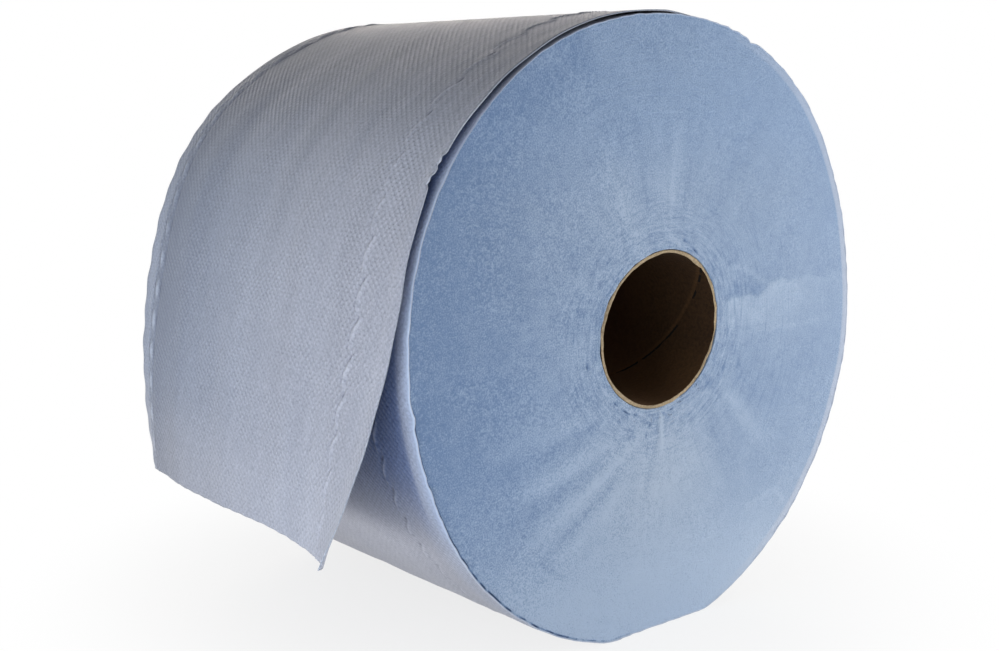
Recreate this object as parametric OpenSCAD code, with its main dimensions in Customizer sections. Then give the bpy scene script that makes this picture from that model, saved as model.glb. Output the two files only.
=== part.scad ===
// A roll of blue paper towel, wound on a cardboard core and lying on its side.
// The core's axis is +Y, the end that faces the viewer is at -Y, +X is to the right and +Z is up.
// The origin is the middle of the core's bore. All lengths are in millimetres, all angles in degrees.

/* [Roll] */
// Diameter of the wound paper
roll_d = 290; // [220:1:340]
// Width of the paper web, from one end of the roll to the other
web_w = 210; // [120:1:300]
// Width of the flat spot that the roll's own weight presses into its underside
flat_spot_w = 50; // [20:1:80]
// Size of the broken edge round both rims
rim_break = 1.2; // [0.4:0.1:3]

/* [Turns] */
// Distance between two turns that stand out on the ends
turn_pitch = 4.2; // [2.4:0.2:8]
// Depth of the groove between two turns
turn_depth = 0.5; // [0.1:0.05:1]
// Extra depth of the crinkled turns beside the core
crinkle_depth = 0.9; // [0:0.1:1.5]
// How far the crinkled turns reach out from the core
crinkle_reach = 9; // [4:1:30]
// Width of the groove between two turns
groove_w = 1; // [0.4:0.1:2]
// Plain paper between the bore and the first groove
bore_land = 1.4; // [0.5:0.1:6]
// Plain paper between the last groove and the rim
rim_land = 0.8; // [0.3:0.1:6]

/* [Core] */
// Diameter of the bore through the cardboard core
core_bore_d = 72; // [38:1:90]
// Wall of the cardboard core
core_wall = 1.5; // [0.8:0.1:4]
// Clearance between the core and the first turn of paper
core_gap = 0.3; // [0.1:0.05:0.5]

/* [Loose turn] */
// Thickness of the loose two-ply sheet, which its embossing makes stiff
sheet_t = 0.8; // [0.6:0.1:1.6]
// Angle round the roll, from the right-hand side, where the last turn comes loose
loose_from = 82; // [60:1:100]
// Gap under the loose turn along the top of the roll
lift_top = 0.8; // [0.6:0.1:3]
// Gap under the loose turn down the side of the roll
lift_side = 4.7; // [3:0.1:12]
// Angle where the gap begins to widen
widen_from = 116; // [102:1:125]
// Angle where the gap has its full width
widen_to = 150; // [130:1:156]

/* [Hanging end] */
// Angle where the sheet leaves the roll and hangs free
hang_from = 167.5; // [158:0.5:175]
// Length of the sheet that hangs free
hang_len = 112; // [50:1:150]
// Lean of the free end away from the roll, towards the near edge
near_lean = 6; // [0:1:20]
// Lean of the free end away from the roll, towards the far edge
far_lean = 2; // [-4:1:20]
// Outward curl of the near corner, added to its lean
near_curl = 24; // [0:1:35]
// Inward curl of the far corner, taken from its lean
far_curl = 9; // [0:1:12]
// How closely the two curls keep to their corners
curl_power = 9; // [2:1:12]

/* [Crimp] */
// Distance from the near edge to the first crimped fold, which runs along the sheet
near_fold_in = 26; // [12:1:40]
// Distance from the far edge to the second crimped fold
far_fold_in = 10; // [8:1:20]
// Width of a crimped fold
fold_w = 5; // [3:0.5:8]
// Height of a crimped fold
fold_h = 0.7; // [0.3:0.1:1.5]

/* [Hidden] */
$fn = 180;

roll_r = roll_d / 2;
half_w = web_w / 2;
core_bore_r = core_bore_d / 2;
core_r = core_bore_r + core_wall;
paper_bore_r = core_r + core_gap;
flat_spot_z = -sqrt(roll_r * roll_r - flat_spot_w * flat_spot_w / 4);

// Whole turns of groove that fit between the bore and the rim or the flat spot, plain paper on both sides
first_groove_r = paper_bore_r + bore_land;
turns_end_r = min(roll_r - rim_break, -flat_spot_z) - rim_land;
turn_count = floor((turns_end_r - groove_w - first_groove_r) / turn_pitch);

// The loose turn starts this far under the roll's surface, and rises over this angle
bury = 0.3;
rise_angle = 8;
// Rows of the loose sheet on the roll and below it
roll_rows = 20;
hang_rows = 12;
// Columns from its near edge to the first crimped fold, and from there to the second one
edge_columns = 3;
even_columns = 9;
// The crimped folds rise between these two rows of the loose sheet
fold_rows = [3, 6];
// Spare depth of the cutting shapes beyond the faces that they cut
spare = 2;
// Angle round the roll where its surface is upright, on the side of the free end
upright_angle = 180;

// A ramp from 0 at a to 1 at b with level ends
function ease(t) = t <= 0 ? 0 : t >= 1 ? 1 : t * t * (3 - 2 * t);
function ramp(v, a, b) = ease((v - a) / (b - a));
function mix(a, b, t) = a + (b - a) * t;

// Groove depth at a radius: even over the roll, deeper in the crinkled turns beside the core
function groove(r) = turn_depth + crinkle_depth * (1 - ramp(r, core_r, core_r + crinkle_reach));

// One end of the roll in section, from inside the bore to past the rim, with one groove for each turn
function turn_line(shift) = concat(
    [[paper_bore_r - turn_pitch, half_w]],
    [
        for (k = [0 : turn_count - 1])
            let (r = first_groove_r + k * turn_pitch, floor_z = half_w - groove(r), inner = r + shift)
            each [[inner, half_w], [inner, floor_z], [inner + groove_w, floor_z], [inner + groove_w, half_w]]
    ],
    [[roll_r + turn_pitch, half_w]]
);
function mirrored(line) = [for (i = [len(line) - 1 : -1 : 0]) [line[i][0], -line[i][1]]];

// Gap between the roll and the loose turn at an angle, negative where the sheet is still wound in
function lift(angle) =
    angle < loose_from + rise_angle
    ? mix(-sheet_t - bury, lift_top, (angle - loose_from) / rise_angle)
    : mix(lift_top, lift_side, ramp(angle, widen_from, widen_to));

// Lean from plumb where the sheet leaves the roll
leave_lean = upright_angle - hang_from;
// Lean from plumb at the sheet's end, for a share of the width from the near edge
function end_lean(share) =
    mix(near_lean, far_lean, share)
    + near_curl * pow(1 - share, curl_power)
    - far_curl * pow(share, curl_power);
function lean(t, share) = mix(leave_lean, end_lean(share), ease(t));

// Section points are [x, z, outward x, outward z], first round the roll, then stepping down the free end
function roll_point(angle) =
    let (r = roll_r + lift(angle))
    [r * cos(angle), r * sin(angle), cos(angle), sin(angle)];
function hang_step(p, t, share) =
    let (a = lean(t, share), ds = hang_len / hang_rows)
    [p[0] - ds * sin(a), p[1] - ds * cos(a), -cos(a), sin(a)];
function hang_points(share) = [
    for (i = 0, p = roll_point(hang_from);
        i <= hang_rows;
        i = i + 1, p = hang_step(p, (i - 0.5) / hang_rows, share))
        if (i > 0) p
];
function section(share) = concat(
    [for (i = [0 : roll_rows]) roll_point(mix(loose_from, hang_from, i / roll_rows))],
    hang_points(share)
);

// Places across the sheet, with three of them on each crimped fold
function fold_places(line) = [line - fold_w / 2, line, line + fold_w / 2];
near_line = near_fold_in;
far_line = web_w - far_fold_in;
near_places = fold_places(near_line);
far_places = fold_places(far_line);
columns = concat(
    [for (i = [0 : edge_columns - 1]) mix(0, near_places[0], i / edge_columns)],
    near_places,
    [for (i = [1 : even_columns - 1]) mix(near_places[2], far_places[0], i / even_columns)],
    far_places,
    [web_w]
);
rows = roll_rows + hang_rows + 1;
column_count = len(columns);

// Height of a crimped fold at a row and a place: both start where the sheet has come loose
function fold_at(i, place) =
    place == near_line || place == far_line
    ? fold_h * ramp(i, fold_rows[0], fold_rows[1])
    : 0;

// The sheet's inner face (side 0) and outer face (side 1), row by row and column by column
sections = [for (place = columns) section(place / web_w)];
function sheet_point(i, j, side) =
    let (p = sections[j][i], out = fold_at(i, columns[j]) + side * sheet_t)
    [p[0] + p[2] * out, columns[j] - half_w, p[1] + p[3] * out];
function at(i, j, side) = (side * rows + i) * column_count + j;
function quad(a, b, c, d) = [[a, b, c], [a, c, d]];
sheet_points = [
    for (side = [0, 1]) for (i = [0 : rows - 1]) for (j = [0 : column_count - 1]) sheet_point(i, j, side)
];
last_row = rows - 1;
last_place = column_count - 1;
sheet_faces = [
    for (i = [0 : last_row - 1]) for (j = [0 : last_place - 1]) each concat(
        quad(at(i, j, 1), at(i + 1, j, 1), at(i + 1, j + 1, 1), at(i, j + 1, 1)),
        quad(at(i, j, 0), at(i, j + 1, 0), at(i + 1, j + 1, 0), at(i + 1, j, 0))
    ),
    for (i = [0 : last_row - 1]) each concat(
        quad(at(i, 0, 1), at(i, 0, 0), at(i + 1, 0, 0), at(i + 1, 0, 1)),
        quad(at(i, last_place, 0), at(i, last_place, 1), at(i + 1, last_place, 1), at(i + 1, last_place, 0))
    ),
    for (j = [0 : last_place - 1]) each concat(
        quad(at(0, j + 1, 1), at(0, j + 1, 0), at(0, j, 0), at(0, j, 1)),
        quad(at(last_row, j, 1), at(last_row, j, 0), at(last_row, j + 1, 0), at(last_row, j + 1, 1))
    )
];

// Turns a shape whose axis is +Z so that its axis lies along the core
module along_core() {
    rotate([90, 0, 0]) children();
}

// Half a roll of turns: a half revolve whose ends carry one groove for each turn
module half_turns(start, shift) {
    line = turn_line(shift);
    translate([shift, 0, 0])
        rotate_extrude(angle = 180, start = start)
            polygon(concat(line, mirrored(line)));
}

// The upper half turns about the core's axis and the lower half about a point half a pitch to the right,
// so that each groove runs on into the next as one spiral, as the web is wound
module spiral_turns() {
    half_turns(0, 0);
    half_turns(180, turn_pitch / 2);
}

// Outside of the roll: its round surface with broken rims, its bore and the flat spot below.
// Its ends stand past the turns, so that only the turns shape them.
module roll_envelope() {
    rim = [
        [roll_r, half_w - rim_break],
        [roll_r - rim_break - spare, half_w + spare],
        [paper_bore_r, half_w + spare]
    ];
    intersection() {
        rotate_extrude()
            polygon(concat(rim, mirrored(rim)));
        translate([-roll_d, flat_spot_z, -web_w])
            cube([2 * roll_d, 2 * roll_d, 2 * web_w]);
    }
}

// The last turn and the free end of the web, as one curved and twisted sheet
module loose_sheet() {
    polyhedron(points = sheet_points, faces = sheet_faces, convexity = 4);
}

// The whole web of paper, one piece from its first turn to its free end
module paper_roll() {
    color("lightsteelblue") {
        along_core()
            intersection() {
                spiral_turns();
                roll_envelope();
            }
        loose_sheet();
    }
}

// The cardboard core, as wide as the web
module core_tube() {
    color("tan")
        along_core()
            difference() {
                cylinder(r = core_r, h = web_w, center = true);
                cylinder(r = core_bore_r, h = 2 * web_w, center = true);
            }
}

paper_roll();
core_tube();
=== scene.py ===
import bpy
import numpy as np
from mathutils import Matrix, Vector


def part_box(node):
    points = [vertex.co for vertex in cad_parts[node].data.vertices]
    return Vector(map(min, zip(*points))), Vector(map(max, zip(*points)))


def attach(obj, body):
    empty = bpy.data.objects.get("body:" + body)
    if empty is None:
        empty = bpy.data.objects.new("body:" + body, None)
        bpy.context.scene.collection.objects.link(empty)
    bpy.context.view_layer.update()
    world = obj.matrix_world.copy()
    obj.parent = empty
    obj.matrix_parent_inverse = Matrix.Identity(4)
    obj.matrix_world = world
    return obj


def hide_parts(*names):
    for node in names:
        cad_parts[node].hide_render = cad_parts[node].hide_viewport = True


# A wide roll of blue paper towel that lies on its side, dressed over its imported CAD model.
# +Y runs along the core, away from the viewer, +X is to the right and +Z is up.
# Lengths are in metres unless a comment says millimetres. Angles round the roll start on its right-hand side and go
# up and over.

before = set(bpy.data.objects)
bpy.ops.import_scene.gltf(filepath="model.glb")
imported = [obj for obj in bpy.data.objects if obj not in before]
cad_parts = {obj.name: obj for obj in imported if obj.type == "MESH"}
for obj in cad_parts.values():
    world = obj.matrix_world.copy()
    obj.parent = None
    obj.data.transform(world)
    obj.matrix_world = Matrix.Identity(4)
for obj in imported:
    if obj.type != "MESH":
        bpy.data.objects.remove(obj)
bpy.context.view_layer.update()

# ---------------- sizes, as in the part's source
FLOOR_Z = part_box("paper_roll")[0].z
core_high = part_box("core_tube")[1]
CORE_R, HALF_WEB = core_high.x, core_high.y
WEB = 2 * HALF_WEB
ROLL_R, CORE_WALL, CORE_GAP, RIM_BREAK, MM = 0.145, 0.0015, 0.0003, 0.0012, 0.001
PAPER_BORE_R = CORE_R + CORE_GAP
# How far the wound paper reaches out from its bore
REACH = ROLL_R - PAPER_BORE_R

# The loose turn and the hanging end: where it starts, where it leaves the roll, and its gap to the roll
LOOSE_FROM, HANG_FROM, RISE = 82.0, 167.5, 8.0
LIFT_START, LIFT_TOP, LIFT_SIDE = -0.0007, 0.001, 0.005
WIDEN_FROM, WIDEN_TO = 116.0, 150.0
HANG_LENGTH = 0.112
SHEET_THICKNESS = 0.0005
# Lean from plumb in degrees: where the sheet leaves the roll, at its end, and the curl of its two corners
LEAVE_LEAN, NEAR_LEAN, FAR_LEAN = 12.5, 6.0, 2.0
NEAR_CURL, FAR_CURL, CURL_POWER = 24.0, 9.0, 9

# The two crimped lines that bond the plies: place across the web and length of one crimp
NEAR_CRIMP, NEAR_CRIMP_STEP = 0.026, 0.0175
FAR_CRIMP, FAR_CRIMP_STEP = 0.198, 0.0155
# Slow waves along the web (length, phase, size): the near crimps' step, both lines, and the near crimps' strength
STEP_WAVE, NEAR_WAVE, FAR_WAVE = (0.043, 0.0, 0.35), (0.021, 0.0, 0.001), (0.019, 0.0, 0.0007)
STRENGTH, STRENGTH_WAVE = 0.75, (0.037, 1.0, 0.25)
# A near crimp: the shares of its step where it rises and falls and where it crosses the line, and how far from the
# line it starts and ends. Between two places along the web it comes closer to the line.
CRIMP_BODY, CRIMP_CROSSES, CRIMP_ENDS = (0.0, 0.14, 0.8, 1.0), (0.06, 0.58), (-0.0019, 0.0034)
TOP_TO_SIDE, CLOSER = (0.12, 0.18), 0.6
# Distance between the rows of embossed dots, measured along a diagonal
DOT_PITCH = 0.00245
# Distance between turns that stand out on the ends, and between the crinkled ones beside the core
TURN_PITCH, CRINKLE_PITCH = 0.0042, 0.0019
# The seam in the core: radians for each metre along it, and one place on it (angle, place along the core)
SEAM_TURN, SEAM_PLACE = 39.6, (0.5236, -0.0985)

# The roll has slumped a little: (waves round the roll, share of the radius, place of the first crest)
SLUMP = ((1, 0.0077, -105), (2, 0.0023, -98), (3, 0.0069, 129), (4, 0.003, -148), (5, 0.0024, -84), (6, 0.0019, -44))
# Share of the slump that is left at the far end
FAR_SLUMP = 0.35
# The core is slightly oval: (waves, metres, place of the first crest)
CORE_OVAL = ((1, 0.0006, 65), (2, 0.0016, 42), (3, 0.0002, 175))

# Angles on the roll, as (start, full, full, end) in degrees: where the rim rounds in, a lit strip is painted beside
# it, the loose turn's shadow is painted in a deeper blue, bounce light is painted lighter and warmer on the web below
# the hanging end, and the last ply stands proud and parts, with painted shade in its groove
ROUNDED_RIM, LIT_STRIP, SHEET_SHADOW_ANGLES = (150, 172, 205, 225), (120, 150, 205, 225), (108, 120, 196, 215)
BOUNCE_LIT_WEB, PROUD_PLY, PARTED_PLY = (192, 214, 290, 330), (186, 194, 250, 275), (185, 190, 246, 268)
# Notches in the roll's near rim, and nicks in the sheet's near edge: angle or place along it, half width, depth
RIM_NOTCHES = ((66, 0.8, 0.0012), (188, 0.9, 0.001))
NICKS = ((0.1685, 0.0011, 0.0013), (0.1772, 0.0013, 0.0016))
# Steps round the roll and round the core, and where the roll's start
ROLL_STEPS, CORE_STEPS, ROLL_START = 420, 300, np.radians(120)
# How deep the relief and tone of an end reach along the web
END_FADE = 0.006


# ---------------- shaping functions
def mix(a, b, t):
    """From a to b as t goes from 0 to 1."""
    return a + (b - a) * t


def ramp(v, a, b):
    """0 below a, 1 above b, and in between 3t^2 - 2t^3, so that both ends are level."""
    t = np.clip((v - a) / (b - a), 0, 1)
    return t * t * (3 - 2 * t)


def between(v, a, b, c, d):
    """0 below a, 1 from b to c and 0 above d, with level ends."""
    return ramp(v, a, b) * (1 - ramp(v, c, d))


def bell(v, width):
    """exp of minus (v / width) squared: 1 at zero, and nearly gone at twice the width."""
    return np.exp(-((v / width) ** 2))


def wave(v, length, phase, size):
    """A slow sine along v. It repeats after 2 pi times the length."""
    return size * np.sin(v / length + phase)


def round_waves(angle, table):
    """Sum of amplitude times cosine of (count times the angle, minus the crest's place), angles in radians."""
    return sum(size * np.cos(count * angle - np.radians(crest)) for count, size, crest in table)


def uneven(x, y, seed, length, count=14):
    """Soft unevenness between about -1 and 1: sines in seeded directions, each near the given wavelength."""
    draw = np.random.default_rng(seed)
    headings = draw.uniform(0, 2 * np.pi, count)
    phases = draw.uniform(0, 2 * np.pi, count)
    stretches = draw.uniform(0.7, 1.5, count)
    sines = 0
    for heading, phase, stretch in zip(headings, phases, stretches):
        k = 2 * np.pi / (length * stretch)
        sines = sines + np.sin(k * (x * np.cos(heading) + y * np.sin(heading)) + phase)
    return sines / count**0.5 / 1.3


def places(*zones):
    """Places of grid rows: (start, steps) of each zone in turn, and then the end. Finer relief has more steps."""
    *zones, end = zones
    stops = [start for start, steps in zones[1:]] + [end]
    runs = [np.linspace(start, stop, steps, endpoint=False) for (start, steps), stop in zip(zones, stops)]
    return np.concatenate([*runs, [end]])


def rim_radius(angle, across):
    """Radius of the wound paper: the roll's, times one plus the slump's waves, which are weaker towards the far
    end, and never below the flat spot, where the radius is the spot's depth over the sine of the angle."""
    away = (across + HALF_WEB) / WEB
    slumped = ROLL_R * (1 + round_waves(angle, SLUMP) * mix(1.0, FAR_SLUMP, np.clip(away, 0, 1)))
    below = np.minimum(np.sin(angle), -1e-6)
    return np.where(np.sin(angle) < -0.2, np.minimum(slumped, FLOOR_Z / below), slumped)


def crimp_relief(along, place):
    """Height of the two crimped lines. In the near one each crimp is a ridge that starts on the near edge's side of
    the line, crosses it and ends further in, closer to the line down the side than over the top, with a valley along
    its inner side and a dent where it starts. In the far one each crimp is a lens-shaped bump beside a crease, with a
    second row of bumps outside it."""
    step = along / NEAR_CRIMP_STEP + wave(along, *STEP_WAVE)
    part = step - np.floor(step)
    off = place - NEAR_CRIMP - wave(along, *NEAR_WAVE)
    off_crest = off - mix(*CRIMP_ENDS, ramp(part, *CRIMP_CROSSES)) * mix(1.0, CLOSER, ramp(along, *TOP_TO_SIDE))
    ridge = 0.0007 * bell(off_crest, 0.0009) - 0.0004 * bell(off_crest - 0.0016, 0.0009)
    dent = 0.0007 * bell(np.mod(part + 0.38, 1) - 0.5, 0.1) * bell(off, 0.0009)
    near = (STRENGTH + wave(along, *STRENGTH_WAVE)) * (between(part, *CRIMP_BODY) * ridge - dent)
    part = along / FAR_CRIMP_STEP - np.floor(along / FAR_CRIMP_STEP)
    lens = np.sin(np.pi * part) ** 2
    off = place - FAR_CRIMP - wave(along, *FAR_WAVE)
    far = lens * 0.0009 * bell(off, 0.0014) - 0.0004 * bell(off + 0.0032, 0.0014) * (1 - 0.6 * lens)
    second = 0.0005 * np.sin(np.pi * np.mod(part + 0.5, 1)) ** 2 * bell(off - 0.0042, 0.0013)
    return near + far + second


# The next tables are in millimetres. Bands over the near end and the far one: start and end as (x, z), half width on
# the upper left side and on the lower right one, height, and change of tone, which is painted light and shade
NEAR_BANDS = (
    ((-24, -44), (-93, -65), 4, 3.2, 0.4, 0.22),
    ((-29, -52), (-96, -77), 4.5, 3.5, -0.4, -0.2),
    ((-14, -49.5), (-90, -90.5), 3.4, 2.2, 0.4, 0.24),
    ((-23, -62), (-70, -91.5), 1.8, 2.2, -0.3, -0.22),
    ((-22, -70), (-66, -99), 2.5, 4, 0.2, 0.14),
    ((-30, -31), (-110, -43), 5, 4, 0.2, 0.1),
    ((-34, -37), (-100, -52), 4, 3.5, -0.2, -0.12),
    ((40, -30), (83, -68), 5, 5, 0.4, 0.24),
    ((33, -40), (56, -80), 4, 5, -0.2, -0.1),
    ((18, -44), (30, -74), 2, 3, 0.2, 0.14),
    ((0, -44), (-12, -90), 2.5, 3, -0.3, -0.12),
    ((4.5, 44), (7, 98), 2.2, 3, 0.2, 0.16),
    ((12.5, 43), (18.5, 93), 2.4, 2.4, -0.2, -0.16),
    ((-6, 42), (-16, 90), 2.4, 3, -0.1, -0.1),
    ((-16, 40), (-42, 86), 3, 3, 0.2, 0.1),
    ((-38, 20), (-80, 42), 4, 4, 0.1, 0.08),
    ((-42, -2), (-70, -4), 5, 5, 0.2, 0.14),
    ((50, -7), (138, -6), 1.8, 1.4, 0.2, 0.12),
    ((1.6, -40), (2.6, -60), 1.3, 1.7, 0.5, 0.7),
    ((-1, -41), (0.2, -54), 0.9, 0.6, -0.4, -0.3),
    ((5.2, -40), (4.8, -52), 0.8, 0.8, -0.2, -0.2),
    ((30, 44), (56, 90), 5, 5, -0.2, -0.1),
    ((62, -96), (88, -90), 1.4, 2, 0.5, 0.18),
    ((86, -90.5), (96, -100), 1.4, 2, 0.5, 0.18),
    ((-75, -93.3), (-68, -100), 0.8, 0.8, -0.2, -0.3),
    ((-69, -99), (-58.7, -104.9), 0.8, 0.8, -0.2, -0.3),
)
FAR_BANDS = (
    ((30, 30), (90, 70), 4, 5, 0.6, 0.25),
    ((-35, 28), (-100, 40), 4, 3, 0.5, 0.2),
    ((20, -42), (40, -110), 4, 3, 0.4, 0.2),
    ((-28, -36), (-70, -85), 3.5, 2.5, 0.6, -0.25),
    ((40, -10), (120, -30), 5, 3, 0.3, 0.15),
)
# Torn flecks in the crinkled turns: place, half length, direction in degrees
FLECKS = (
    ((-22.5, -35), 3, -35), ((-16.4, -37.7), 1.2, -20), ((-6, -45), 1, 30),
    ((-8.5, -49.6), 0.8, 70), ((3.6, -41.3), 1.2, 5), ((9.7, -40), 1.4, 20),
    ((-45.5, -11), 1.6, 100), ((-29, -30), 1, -45), ((15, 40), 1.2, -20),
    ((22, 34), 1.6, -45),
)
# Soft patches of painted light and shade on the near end, as middle, half widths and change: for its tone, and
# for its hue as a painted colour of the light
PAINTED_LIGHT_PATCHES = (
    ((-60, -70), (45, 45), 0.1), ((75, -65), (42, 42), -0.14),
    ((0, -70), (50, 34), 0.33), ((-10, 58), (40, 28), 0.22),
)
PAINTED_TINT_PATCHES = (((0, -70), (45, 35), 0.7), ((-85, -45), (40, 40), -0.5))


def patches(x, z, table):
    """Sum of soft patches over an end face, in millimetres."""
    return sum(size * bell(x - x0, wide) * bell(z - z0, high) for (x0, z0), (wide, high), size in table)


def bands(x, z, table):
    """Height and tone of bands over an end face, in millimetres; the tone is painted light and shade of each band.
    Each is a bell across its line, with a width for each side. It bows a little, widens on its way, and fades over the
    first quarter and the last third of its length."""
    height = tone = 0
    for (x0, z0), (x1, z1), upper, lower, size, change in table:
        length = np.hypot(x1 - x0, z1 - z0)
        ux, uz = (x1 - x0) / length, (z1 - z0) / length
        along = ((x - x0) * ux + (z - z0) * uz) / length
        off = ((x - x0) * uz - (z - z0) * ux) * np.sign(ux) + 0.06 * length * ((along - 0.5) ** 2 - 0.25)
        width = np.where(off < 0, upper, lower) * mix(0.8, 1.3, np.clip(along, 0, 1))
        profile = between(along, -0.08, 0.22, 0.68, 1.12) * bell(off, width)
        height = height + size * profile
        tone = tone + change * profile
    return height, tone


def end_relief(angle, out, table, seed):
    """How far an end face stands out at a distance out from the bore, and its tone: broad dents, radial smears, faint
    turns, crinkled turns close to the core, deepest below it, whose phase and depth wander, and the bands. The tone
    of the crinkled turns and of the bands is painted light and shade that follows their height."""
    radius = PAPER_BORE_R + out
    x, z = radius * np.cos(angle), radius * np.sin(angle)
    dents = 0.0004 * uneven(x, z, seed, 0.075) + 0.00012 * uneven(x, z, seed + 1, 0.024)
    spiral = radius - TURN_PITCH * angle / (2 * np.pi)
    clear = ramp(uneven(x, z, seed + 2, 0.09), -0.2, 0.8)
    turns = 0.00006 * clear * np.cos(2 * np.pi * spiral / TURN_PITCH)
    cx, cz = np.cos(angle), np.sin(angle)
    smears = uneven(6.0 * cx + out / 0.05, 6.0 * cz, seed + 4, 1.3) * np.exp(-out / 0.055)
    near_core = np.exp(-out / 0.0055)
    low = 0.45 + 0.55 * bell(np.angle(np.exp(1j * (angle + np.radians(100)))), 1.0)
    phase = 2 * np.pi * out / CRINKLE_PITCH + 2.6 * uneven(16 * cx + out / 0.003, 16 * cz, seed + 5, 5.0)
    broken = ramp(uneven(11 * cx, 11 * cz + out / 0.004, seed + 6, 3.5), -0.7, 0.9)
    crinkles = near_core * low * broken * np.cos(phase + 9 * cx)
    gathers = np.exp(-out / 0.01) * uneven(27 * cx + out / 0.004, 27 * cz, seed + 3, 6.0)
    height, tone = bands(x / MM, z / MM, table)
    height = height * MM + dents + turns + 0.0005 * crinkles + 0.0002 * gathers + 0.00006 * smears
    # The crinkles' tone is painted light and shade that follows their height
    tone = tone + 0.26 * crinkles + 0.05 * gathers + 0.06 * smears
    return height, tone


def near_marks(angle, out):
    """Height, tone and hue of what only the near end has: a ply that has slipped out a little right of the core, with
    painted light in the zone below its edge and painted shade above it, a painted highlight on a crease, torn flecks,
    a darker left side, a slightly darker right and a lighter lower part, painted as light falls, soft patches of
    painted light and shade, a painted shadow on the rim where the loose turn lies close above it, and a painted colour
    of the light, bluer at the top and warmer on the right."""
    radius = PAPER_BORE_R + out
    x, z = radius * np.cos(angle), radius * np.sin(angle)
    edge = mix(0.01, 0.0163, ramp(x, 0.066, 0.086)) + wave(x, 0.0041, 0, 0.0007) + wave(x, 0.0019, 0, 0.0005)
    reach = ramp(x, 0.036, 0.048) * (1 - 0.65 * ramp(x, 0.08, 0.125))
    slip = (1 - ramp(z, edge - 0.0012, edge + 0.0008)) * ramp(z, -0.022, edge - 0.001)
    above = bell(z - edge - 0.0035, 0.0045) * (z > edge - 0.0005)
    crease = bell(z - mix(0.0245, 0.015, ramp(x, 0.052, 0.08)), 0.0012) * between(x, 0.038, 0.05, 0.074, 0.086)
    height = reach * 0.00022 * slip + 0.0002 * crease
    # Painted light below the slipped ply's edge, painted shade above it, and a painted highlight on the crease
    tone = reach * (0.3 * slip - 0.16 * above * (1 - 0.6 * ramp(x, 0.07, 0.09))) + 0.2 * crease
    for (x0, z0), half, heading in FLECKS:
        ux, uz = np.cos(np.radians(heading)), np.sin(np.radians(heading))
        from_x, from_z = x / MM - x0, z / MM - z0
        fleck = bell(from_x * ux + from_z * uz, half) * bell(from_x * uz - from_z * ux, 0.42)
        height, tone = height - 0.0006 * fleck, tone - 1.2 * fleck
    # Painted light and shade: darker left and right, lighter low down, and the loose turn's shadow on the rim
    left, right = ramp(-x, 0.045, 0.14) * ramp(z, -0.12, -0.03), ramp(x, 0.075, 0.125)
    low, lowest = ramp(-z + 0.25 * x, 0.045, 0.13), ramp(-z, 0.085, 0.13)
    sheet_shadow_on_end = between(np.degrees(np.mod(angle, 2 * np.pi)), 109, 111.5, 118, 150) * ramp(radius, 0.118, 0.133)
    tone = tone - 0.34 * left + 0.24 * low + 0.34 * lowest - 0.1 * right - 0.16 * sheet_shadow_on_end
    # Painted colour of the light: warmer on the right, bluer at the top
    hue = 0.3 * ramp(x, 0.05, 0.12) * (1 - ramp(z, 0.02, 0.05)) - 0.8 * ramp(z, 0.055, 0.105)
    x, z = x / MM, z / MM
    return height, tone + patches(x, z, PAINTED_LIGHT_PATCHES), hue + patches(x, z, PAINTED_TINT_PATCHES)


# ---------------- meshes
def fill(data, key, values, kind=np.float32):
    """Writes an array into a mesh's data."""
    data.foreach_set(key, values.astype(kind).ravel())


def surface(
    name, points, ring_rows, ring_columns, finishes, finish_of_row=None, web=None, outside=1, **measures
):
    """Makes a piece of quads over a grid of points, joined up into rings where asked. web holds the flat place of
    each grid point, with one more row or column where the grid joins up. outside is -1 where the grid's rows and
    columns run the other way round. measures are numbers kept at each point for the materials."""
    rows, columns = points.shape[:2]
    i, j = np.meshgrid(np.arange(rows - (not ring_rows)), np.arange(columns - (not ring_columns)), indexing="ij")
    corners = np.stack([(i, j), (i, j + 1), (i + 1, j + 1), (i + 1, j)], -1).reshape(2, -1, 4)[:, :, ::outside]
    mesh = bpy.data.meshes.new(name)
    count = corners.shape[1]
    mesh.vertices.add(rows * columns)
    fill(mesh.vertices, "co", points)
    mesh.loops.add(4 * count)
    fill(mesh.loops, "vertex_index", (corners[0] % rows) * columns + corners[1] % columns, np.int32)
    mesh.polygons.add(count)
    fill(mesh.polygons, "loop_start", np.arange(0, 4 * count, 4), np.int32)
    fill(mesh.polygons, "use_smooth", np.ones(count), bool)
    for finish in finishes:
        mesh.materials.append(finish)
    if finish_of_row is not None:
        first = corners[0, :, 0 if outside > 0 else 3] % rows
        fill(mesh.polygons, "material_index", finish_of_row[first], np.int32)
    if web is not None:
        layer = mesh.uv_layers.new(name="web")
        fill(layer.data, "uv", web[corners[0], corners[1]])
    for key, values in measures.items():
        fill(mesh.attributes.new(key, "FLOAT", "POINT").data, "value", values)
    mesh.update(calc_edges=True)
    mesh.validate()
    piece = bpy.data.objects.new(name, mesh)
    bpy.context.scene.collection.objects.link(piece)
    return piece


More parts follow.
